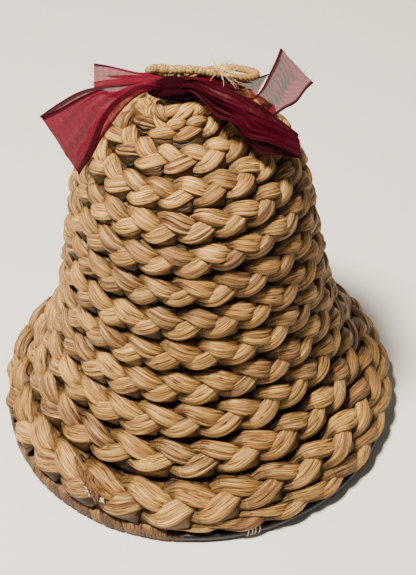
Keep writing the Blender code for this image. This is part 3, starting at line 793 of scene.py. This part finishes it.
# Hanging loop: two-ply cord that comes up through the crown, flops back as an oval and goes down again.
# Its left half is bound side by side with pale fibre, which frays at the end of the binding.
CROWN_TOP = BELL_HEIGHT
LEG_HALF_SPACING = 0.0026
STOPPER_HEIGHT = 0.1878
PLY_TURN = 0.0052
PLY_OFFSET = 0.00095
PLY_RADIUS = 0.00108
BINDING_TURN = 0.0019
BINDING_RADIUS = 0.00196
BINDING_RIDGE = 0.00030
STOPPER_SCALE = 0.00172
STOPPER_CORD_RADIUS = 0.0021
LOOP_LEFT = ((16.5, 1.6, 11.6), (7.2, 0.9, 14.2), (0.0, 0.5, 15.6), (-8.0, 0.8, 15.6), (-14.0, 3.0, 14.8),
             (-18.0, 8.5, 9.4), (-14.5, 15.5, 2.8), (-5.0, 21.5, -2.5), (8.0, 25.5, -4.3), (14.0, 26.9, -4.1))
LOOP_RIGHT = ((13.0, 1.3, 12.6), (20.0, 2.6, 9.6), (27.0, 5.4, 6.2), (32.4, 10.0, 3.2), (33.6, 15.0, 1.4),
              (29.6, 21.4, -1.0), (20.0, 27.4, -3.4), (11.0, 26.4, -4.4))


def crown_points(offsets):
    """Points given in millimetres from the middle of the crown's top."""
    return [(x / 1000, y / 1000, CROWN_TOP + z / 1000) for x, y, z in offsets]


def lengths_of(path):
    """The distance along a path at each of its points."""
    return np.concatenate([[0.0], np.cumsum(np.linalg.norm(np.diff(path, axis=0), axis=1))])


def even_path(points, step):
    """Points at even steps along the curve through the given points."""
    curve = curve_through(points, 12)
    marks = lengths_of(curve)
    spots = np.linspace(0.0, marks[-1], max(4, int(marks[-1] / step)))
    return np.stack([np.interp(spots, marks, curve[:, k]) for k in range(3)], -1)


def frames_along(path):
    """Two directions across a path at each point, carried without twisting."""
    along = np.gradient(path, axis=0)
    along /= np.linalg.norm(along, axis=1)[:, None]
    guide = np.array((0.0, 0.0, 1.0)) if abs(along[0, 2]) < 0.8 else np.array((0.0, 1.0, 0.0))
    guides = []
    for heading in along:
        guide = guide - heading * (guide @ heading)
        guide /= np.linalg.norm(guide)
        guides.append(guide)
    guides = np.array(guides)
    return guides, np.cross(along, guides)


def plies(points):
    """The two plies of a twisted cord along a curve."""
    path = even_path(points, 0.0006)
    first, second = frames_along(path)
    turn = math.tau * lengths_of(path) / PLY_TURN
    result = []
    for number in range(2):
        phase = (turn + math.pi * number)[:, None]
        centre = path + PLY_OFFSET * (np.cos(phase) * first + np.sin(phase) * second)
        result.append(tube(centre, PLY_RADIUS, 8))
    return result


def binding(points):
    """The fibre wound round the cord: a sleeve with a ridge for each winding, and painted shade at each
    winding's edges.
    """
    path = even_path(points, 0.00032)
    first, second = frames_along(path)
    marks = lengths_of(path)
    theta = np.linspace(0.0, math.tau, 14, endpoint=False)
    spot = marks[:, None] / BINDING_TURN + theta / math.tau
    winding = np.floor(spot).astype(int)
    share = spot - winding
    widths = np.random.default_rng(3).uniform(-0.00016, 0.00020, 400)[winding]
    radius = BINDING_RADIUS + widths + BINDING_RIDGE * np.sin(math.pi * share) ** 0.6
    radius *= smooth(np.minimum(marks, marks[-1] - marks) / 0.0012)[:, None] * 0.5 + 0.5
    rings = (path[:, None, :] + (radius * np.cos(theta))[:, :, None] * first[:, None, :]
             + (radius * np.sin(theta))[:, :, None] * second[:, None, :])
    tone = np.random.default_rng(4).uniform(0.0, 1.0, 400)[winding]
    # Painted shade: each winding is darker towards its edges, in the grooves between windings.
    shade = 0.35 + 0.65 * smooth(np.minimum(share, 1.0 - share) / 0.16)
    return rings, marks, tone, shade


def frays(spot, heading, count, length, radius, rng):
    """Loose fibre ends that leave one spot and curl."""
    parts = []
    for _ in range(count):
        go = np.array(heading) + rng.normal(size=3) * (0.5, 0.5, 0.32)
        go /= np.linalg.norm(go)
        curl = np.cross(go, rng.normal(size=3)) * (1.0, 1.0, 0.6) - (0.0, 0.0, 0.3)
        share = np.linspace(0.0, 1.0, 7)[:, None]
        start = np.array(spot) + rng.normal(size=3) * 0.0008
        reach = length * rng.uniform(0.5, 1.0)
        path = start + go * reach * share + curl * reach * 0.45 * share ** 2
        parts.append(tube(path, radius * (1.05 - 0.8 * share[:, 0]), 4))
    return parts


stopper_turn = np.linspace(0.0, math.tau, 80, endpoint=False)
knot_path = STOPPER_SCALE * np.stack([np.sin(stopper_turn) + 2 * np.sin(2 * stopper_turn),
                                      np.cos(stopper_turn) - 2 * np.cos(2 * stopper_turn),
                                      -1.3 * np.sin(3 * stopper_turn)], -1) + (0.0, 0.0, STOPPER_HEIGHT)
cord_parts = plies(crown_points(LOOP_RIGHT))
for side in (-1, 1):
    foot = (side * LEG_HALF_SPACING * 1000, 0.0, (STOPPER_HEIGHT - CROWN_TOP) * 1000)
    neck = (side * LEG_HALF_SPACING * 1000, 0.0, 11.0)
    over = (side * 5.4, 0.6, 14.8)
    cord_parts += plies(crown_points((foot, (foot[0], 0.0, 0.0), neck, over)))
cord_parts.append(tube(np.vstack([knot_path, knot_path[:2]]), STOPPER_CORD_RADIUS, 9))
cord_points, cord_faces = join_rings(cord_parts)
# Twisted plant cord: dull tan, with the twist itself giving the shadows.
cord_material = plain_material("twisted_plant_cord", "#8a6b3e", 0.85, 0.1)
cord = add_mesh("loop_cord", cord_points, cord_faces, cord_material)
rings, marks, tone, shade = binding(crown_points(LOOP_LEFT))
binding_material = fibre_material("pale_bound_fibre", ("#a88a4e", "#8e6c38", "#bba468", "#7a5a2e"),
                                  1500.0, 1500.0, "#6f5430")
bound = add_mesh("loop_binding", rings.reshape(-1, 3), skin(rings), binding_material)
fibre_map(bound, rings, marks, tone, shade)
rng = np.random.default_rng(12)
fray_parts = frays(crown_points([(16.0, 1.8, 12.4)])[0], (0.9, 0.1, 0.02), 72, 0.0095, 0.00024, rng)
fray_parts += frays(crown_points([(14.0, 25.6, -3.0)])[0], (0.9, 0.1, 0.35), 18, 0.0075, 0.00026, rng)
fray_points, fray_faces = join_rings(fray_parts)
# Loose fibre ends: dull, and paler than most of the binding that they come from.
fray_material = plain_material("frayed_fibre_ends", "#bda673", 0.85, 0.1)
fray = add_mesh("loop_frays", fray_points, fray_faces, fray_material)
for piece in (cord, bound, fray):
    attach(piece, "root")
    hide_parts("hanging_loop")

# Bow: one length of sheer burgundy organza 38 mm wide, with dense selvedges, knotted round the cord's legs.
# Each part is cloth between its edge curves; pleats gather it towards the knot.
RIBBON_WIDTH = 0.038
SELVEDGE_SHARE = 0.05
SELVEDGE_RADIUS = 0.00042
GATHER_TRIES = 8
LOOP_COLUMNS = 49
LEFT_TAIL_COLUMNS = 67
RIGHT_TAIL_COLUMNS = 61
RIGHT_END_COLUMNS = 41


def edge_curve(points, steps):
    """Even points along the curve through points given in millimetres."""
    curve = curve_through(np.array(points) / 1000, 10)
    marks = lengths_of(curve)
    spots = np.linspace(0.0, marks[-1], steps)
    return np.stack([np.interp(spots, marks, curve[:, k]) for k in range(3)], -1)


def cloth(edges, steps, across, bulge, pleat, pleats, seed):
    """A grid of cloth across the given edge curves, bowed out between them and pleated towards its start."""
    curves = np.array([edge_curve(edge, steps) for edge in edges])
    share = np.linspace(0.0, 1.0, across)
    spot = share * (len(edges) - 1)
    low = np.minimum(spot.astype(int), len(edges) - 2)
    part = (spot - low)[:, None, None]
    grid = np.swapaxes(curves[low] * (1 - part) + curves[low + 1] * part, 0, 1)
    along = np.gradient(grid, axis=0)
    sideways = np.gradient(grid, axis=1)
    normal = np.cross(along, sideways)
    normal /= np.linalg.norm(normal, axis=2)[:, :, None] + 1e-12
    out = np.linspace(0.0, 1.0, steps)[:, None]
    rng = np.random.default_rng(seed)
    phase = rng.uniform(0, math.tau, 3)
    wave = (np.sin(math.tau * pleats * share + phase[0])
            + 0.5 * np.sin(math.tau * pleats * 1.9 * share + phase[1]))
    wave = wave * (0.35 + 0.65 * np.abs(2.0 * share - 1.0))
    soft = 0.0004 * np.sin(9 * out + phase[2]) * np.sin(math.tau * 1.3 * share + phase[1])
    rim = np.sin(math.pi * share)
    lift = bulge * rim * np.sin(math.pi * np.clip(out, 0.05, 1.0)) ** 0.7
    lift = lift + soft * rim
    low, high = np.zeros((steps, 1)), pleat * np.minimum(1.0, 0.12 + 0.88 * smooth((1.0 - out) / 0.30))
    for _ in range(GATHER_TRIES):
        middle = (low + high) / 2
        spots = grid + normal * (lift + middle * wave * rim ** 0.35)[:, :, None]
        wide = np.linalg.norm(np.diff(spots, axis=1), axis=2).sum(axis=1)[:, None]
        low = np.where(wide < RIBBON_WIDTH, middle, low)
        high = np.where(wide < RIBBON_WIDTH, high, middle)
    return spots


def cloth_mesh(name, grids, material):
    """One sheet from grids that follow each other, with UVs: metres along and share of the width across."""
    grid = np.concatenate(grids, axis=0)
    steps, across = grid.shape[:2]
    faces = [(i * across + j, i * across + j + 1, (i + 1) * across + j + 1, (i + 1) * across + j)
             for i in range(steps - 1) for j in range(across - 1)]
    item = add_mesh(name, grid.reshape(-1, 3), faces, material)
    middle = lengths_of(grid[:, across // 2])
    loops = np.empty(len(item.data.loops), dtype=np.int32)
    item.data.loops.foreach_get("vertex_index", loops)
    uv = np.stack([middle[loops // across], (loops % across) / (across - 1)], -1)
    item.data.uv_layers.new(name="weave").data.foreach_set("uv", uv.astype(np.float32).ravel())
    return item


def organza_material(name, code, edge_code, cover, edge_cover):
    """Sheer organza: crimson, thin between the selvedges, with a fine watered sheen; dense at the edges."""
    material, tree, shader = new_material(name)
    uv = node(tree, "ShaderNodeUVMap", {"uv_map": "weave"})
    axes = node(tree, "ShaderNodeSeparateXYZ", links={"Vector": uv.outputs["UV"]})
    centred = node(tree, "ShaderNodeMath", {"operation": "SUBTRACT", 1: 0.5}, {0: axes.outputs["Y"]})
    from_middle = node(tree, "ShaderNodeMath", {"operation": "ABSOLUTE"}, {0: centred.outputs["Value"]})
    edge = node(tree, "ShaderNodeMapRange",
                {"From Min": 0.5 - SELVEDGE_SHARE - 0.02, "From Max": 0.5 - SELVEDGE_SHARE},
                {"Value": from_middle.outputs["Value"]})
    spread = node(tree, "ShaderNodeMapping", {"Scale": (26.0, 1.0, 1.0)}, {"Vector": uv.outputs["UV"]})
    watered = node(tree, "ShaderNodeTexWave",
                   {"wave_type": "BANDS", "Scale": 3.2, "Distortion": 7.0, "Detail": 1.0, "Detail Scale": 0.8},
                   {"Vector": spread.outputs["Vector"]})
    body = node(tree, "ShaderNodeMapRange", {"To Min": cover - 0.02, "To Max": cover + 0.02},
                {"Value": watered.outputs["Fac"]})
    alpha = node(tree, "ShaderNodeMix", {"data_type": "FLOAT", "B": edge_cover},
                 {"Factor": edge.outputs["Result"], "A": body.outputs["Result"]})
    tree.links.new(alpha.outputs["Result"], shader.inputs["Alpha"])
    tint = node(tree, "ShaderNodeMix", {"data_type": "RGBA", "blend_type": "MIX"})
    tree.links.new(edge.outputs["Result"], tint.inputs["Factor"])
    tint.inputs["A"].default_value = colour(code)
    tint.inputs["B"].default_value = colour(edge_code)
    tree.links.new(tint.outputs["Result"], shader.inputs["Base Color"])
    shader.inputs["Roughness"].default_value = 0.5
    shader.inputs["Specular IOR Level"].default_value = 0.06
    return material


ORGANZA = organza_material("sheer_burgundy_organza", "#52091d", "#2c030c", 0.86, 0.98)
GATHERED = organza_material("gathered_burgundy_organza", "#330411", "#220209", 0.94, 0.99)

# Where the bow's edges are seen in the photograph: pixels across and down, and a depth in millimetres
# behind the bell's middle, or in front of it where it is negative.
PHOTO_EDGES = {
    "left_front_upper": ((122, 97, -12), (108, 94, -9), (100, 90, -7), (80, 98, -5), (60, 109, -3),
                         (41, 117, -1)),
    "left_front_lower": ((122, 100, -19), (110, 112, -24), (103, 125, -27), (93, 150, -28), (79, 174, -25)),
    "left_back_upper": ((125, 85, -1), (100, 87, 0), (80, 92, 1), (60, 103, 1)),
    "left_back_lower": ((140, 93, -9), (123, 108, -14), (112, 122, -19), (100, 140, -24), (90, 158, -26)),
    "right_front_upper": ((205, 92, -14), (222, 100, -16), (240, 108, -17), (262, 118, -18),
                          (284, 128, -18)),
    "right_front_lower": ((205, 103, -18), (218, 117, -24), (236, 123, -27), (248, 137, -30)),
    "right_back_upper": ((215, 85, -4), (232, 91, -7), (248, 99, -9), (262, 107, -11), (278, 119, -13)),
    "right_back_lower": ((212, 110, -17), (232, 122, -23), (247, 141, -28), (262, 152, -31)),
    "left_tail_back": ((138, 73, 10), (120, 69, 17), (107, 66, 22), (94, 64, 26)),
    "left_tail_fold": ((138, 84, -2), (120, 86, 1), (107, 87, 3), (94, 88, 5)),
}


def seen(across, down, depth):
    """The point in millimetres that the camera sees under a pixel, at a depth behind the bell's middle."""
    focal = LENS_MM / SENSOR_MM * max(PHOTO_SIZE)
    ray = (ahead + right * ((across - PHOTO_SIZE[0] / 2) / focal)
           + top * ((PHOTO_SIZE[1] / 2 - down) / focal))
    reach = (depth / 1000 - CAMERA_PLACE.y) / ray.y
    return tuple((CAMERA_PLACE + ray * reach) * 1000)


def edge(near, name, far=()):
    """An edge: points by the knot in millimetres, those seen in the photograph, and any beyond them."""
    return near + tuple(seen(*place) for place in PHOTO_EDGES[name]) + far


left_front = cloth((
    edge(((-7.0, -5.0, 220.6), (-14.0, -8.0, 224.0), (-22.0, -11.0, 223.6)), "left_front_upper"),
    edge(((-7.0, -6.0, 219.6), (-14.0, -10.0, 223.4), (-22.0, -13.0, 226.0)), "left_front_lower")),
    steps=60, across=LOOP_COLUMNS, bulge=0.0026, pleat=0.0021, pleats=3.0, seed=1)
left_back = cloth((
    edge(((-7.0, -4.0, 220.4), (-15.0, -4.0, 223.0)), "left_back_upper", ((-71.8, 0.0, 201.6),)),
    edge(((-7.0, -5.0, 219.2), (-15.0, -8.0, 221.6)), "left_back_lower", ((-53.7, -25.0, 185.9),))),
    steps=60, across=LOOP_COLUMNS, bulge=-0.0022, pleat=0.0019, pleats=3.0, seed=2)
left_loop = cloth_mesh("left_loop", (left_front, left_back[::-1]), ORGANZA)

right_front = cloth((
    edge(((-5.0, -6.0, 220.8), (1.5, -9.5, 225.0)), "right_front_upper", ((52.4, -17.0, 198.7),)),
    edge(((-5.0, -6.0, 219.0), (2.0, -11.0, 222.4)), "right_front_lower",
         ((38.1, -32.0, 207.0), (47.4, -32.0, 201.2), (53.4, -30.0, 195.2)))),
    steps=56, across=LOOP_COLUMNS, bulge=0.0022, pleat=0.0032, pleats=3.0, seed=3)
right_back = cloth((
    edge(((-5.0, -4.0, 220.6), (2.0, -3.0, 223.6)), "right_back_upper", ((52.6, -16.0, 198.5),)),
    edge(((-5.0, -5.0, 218.8), (3.0, -8.0, 220.6)), "right_back_lower",
         ((43.0, -31.0, 198.6), (53.6, -29.6, 194.9)))),
    steps=56, across=LOOP_COLUMNS, bulge=-0.0026, pleat=0.0030, pleats=3.0, seed=4)
right_loop = cloth_mesh("right_loop", (right_front, right_back[::-1]), GATHERED)

# The left tail runs from its selvedge at the back, over its middle, to a fold at the front, and from there
# back underneath to its other selvedge.
left_tail_cloth = cloth((
    edge(((-7.0, -2.0, 220.8), (-15.0, 3.0, 222.0)), "left_tail_back"),
    ((-7.0, -2.6, 220.6), (-15.0, 0.6, 222.2), (-23.5, 4.0, 219.9), (-32.4, 9.0, 216.7), (-39.0, 12.0, 215.2),
     (-45.4, 15.0, 213.4)),
    edge(((-7.0, -3.4, 220.4), (-15.0, -3.0, 222.6)), "left_tail_fold"),
    ((-7.0, -2.0, 219.6), (-15.0, 1.6, 221.4), (-23.6, 5.0, 219.1), (-32.4, 8.0, 216.3), (-39.0, 11.0, 213.8),
     (-45.5, 13.0, 211.3))),
    steps=34, across=LEFT_TAIL_COLUMNS, bulge=0.0, pleat=0.0022, pleats=4.0, seed=5)
left_tail = cloth_mesh("left_tail", (left_tail_cloth,), ORGANZA)

right_tail_cloth = cloth((
    ((-5.0, -2.0, 220.6), (3.0, 0.6, 222.4), (13.3, 1.2, 220.2), (25.5, 5.6, 215.9), (34.6, 12.8, 211.5),
     (39.8, 18.8, 208.8)),
    ((-5.0, -3.0, 219.6), (3.6, -3.0, 221.8), (13.2, -3.2, 219.3), (22.7, -3.4, 214.9), (28.1, -1.2, 210.2),
     (32.0, 0.0, 208.0))),
    steps=30, across=RIGHT_TAIL_COLUMNS, bulge=0.0008, pleat=0.0030, pleats=4.0, seed=6)
right_tail = cloth_mesh("right_tail", (right_tail_cloth,), ORGANZA)
RIGHT_CUT = ((47.1, 36.8, 211.3), (62.9, 30.4, 194.5))
right_end_cloth = cloth((
    ((31.6, 0.0, 207.8), (36.4, 8.8, 207.3), (40.8, 19.6, 208.7), (44.2, 28.2, 209.9), RIGHT_CUT[0]),
    ((41.7, -3.1, 200.4), (47.3, 4.0, 199.2), (53.1, 10.6, 197.6), (58.4, 22.1, 196.2), RIGHT_CUT[1])),
    steps=30, across=RIGHT_END_COLUMNS, bulge=0.0026, pleat=0.0040, pleats=1.0, seed=7)
right_end = cloth_mesh("right_tail_end", (right_end_cloth,), ORGANZA)


KNOT_MIDDLE = (-0.0062, -0.0045, 0.2198)
KNOT_HALF = (0.0125, 0.0068, 0.0044)


def knot_rings():
    """The knot: a short band of cloth pulled tight, creased along and round it."""
    share = np.linspace(-1.0, 1.0, 30)
    theta = np.linspace(0.0, math.tau, 40, endpoint=False)
    girth = (1.0 - 0.55 * np.abs(share) ** 2.2)[:, None]
    crease = (1.0 + 0.10 * np.sin(7 * theta + 2.6 * share[:, None])
              + 0.06 * np.sin(12 * theta - 4.0 * share[:, None]))
    x = KNOT_MIDDLE[0] + KNOT_HALF[0] * share[:, None] + 0.0 * theta
    y = KNOT_MIDDLE[1] + KNOT_HALF[1] * girth * crease * np.cos(theta)
    z = KNOT_MIDDLE[2] + KNOT_HALF[2] * girth * crease * np.sin(theta)
    return np.stack([x, y, z], -1)


rings = knot_rings()
# Knotted organza: many layers together, so that it is dark, dense and almost without gloss.
knot_material = plain_material("knotted_organza", "#1a0207", 0.8, 0.02)
knot = add_mesh("bow_knot", rings.reshape(-1, 3), skin(rings), knot_material)

CUT_ENDS = (
    # the cut's corners in millimetres, the way its threads point, their length, the bare share at a corner
    ((-45.6, 26.0, 213.1), (-45.1, 5.0, 214.0), (-0.9, 0.25, 0.1), 0.0030, 0.02),
    (*RIGHT_CUT, (0.3, 0.9, 0.2), 0.0034, 0.0),
)
CUT_THREADS = 22
CUT_THREAD_RADIUS = 0.00012

rng = np.random.default_rng(20)
end_parts = []
for start, end, heading, length, bare in CUT_ENDS:
    for share in np.linspace(bare, 1.0 - bare, CUT_THREADS):
        spot = np.array(start) * (1 - share) + np.array(end) * share
        end_parts += frays(spot / 1000, heading, 1, length, CUT_THREAD_RADIUS, rng)
end_points, end_faces = join_rings(end_parts)
# Loose threads: single filaments, so that they look lighter than the cloth.
end_material = plain_material("loose_ribbon_threads", "#7c1730", 0.6)
ends = add_mesh("ribbon_frays", end_points, end_faces, end_material)

selvedge_parts = []
CLOTH_COLUMNS = (
    (left_loop, LOOP_COLUMNS),
    (right_loop, LOOP_COLUMNS),
    (left_tail, LEFT_TAIL_COLUMNS),
    (right_tail, RIGHT_TAIL_COLUMNS),
    (right_end, RIGHT_END_COLUMNS),
)
for piece, across in CLOTH_COLUMNS:
    grid = np.array([vertex.co for vertex in piece.data.vertices]).reshape(-1, across, 3)
    for border in (grid[:, 0], grid[:, -1]):
        selvedge_parts.append(tube(border, SELVEDGE_RADIUS, 6))
selvedge_points, selvedge_faces = join_rings(selvedge_parts)
# Selvedge: the ribbon's dense woven border, dark and matt.
selvedge_material = plain_material("burgundy_selvedge", "#33030e", 0.8, 0.04)
selvedges = add_mesh("ribbon_selvedges", selvedge_points, selvedge_faces, selvedge_material)

for piece in (left_loop, right_loop, left_tail, right_tail, right_end, knot, ends, selvedges):
    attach(piece, "root")
    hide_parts("ribbon_bow")
# These four cast no shadow, so what lies under them stays lighter than it would under real organza.
for piece in (left_loop, left_tail, right_tail, right_end):
    piece.visible_shadow = False
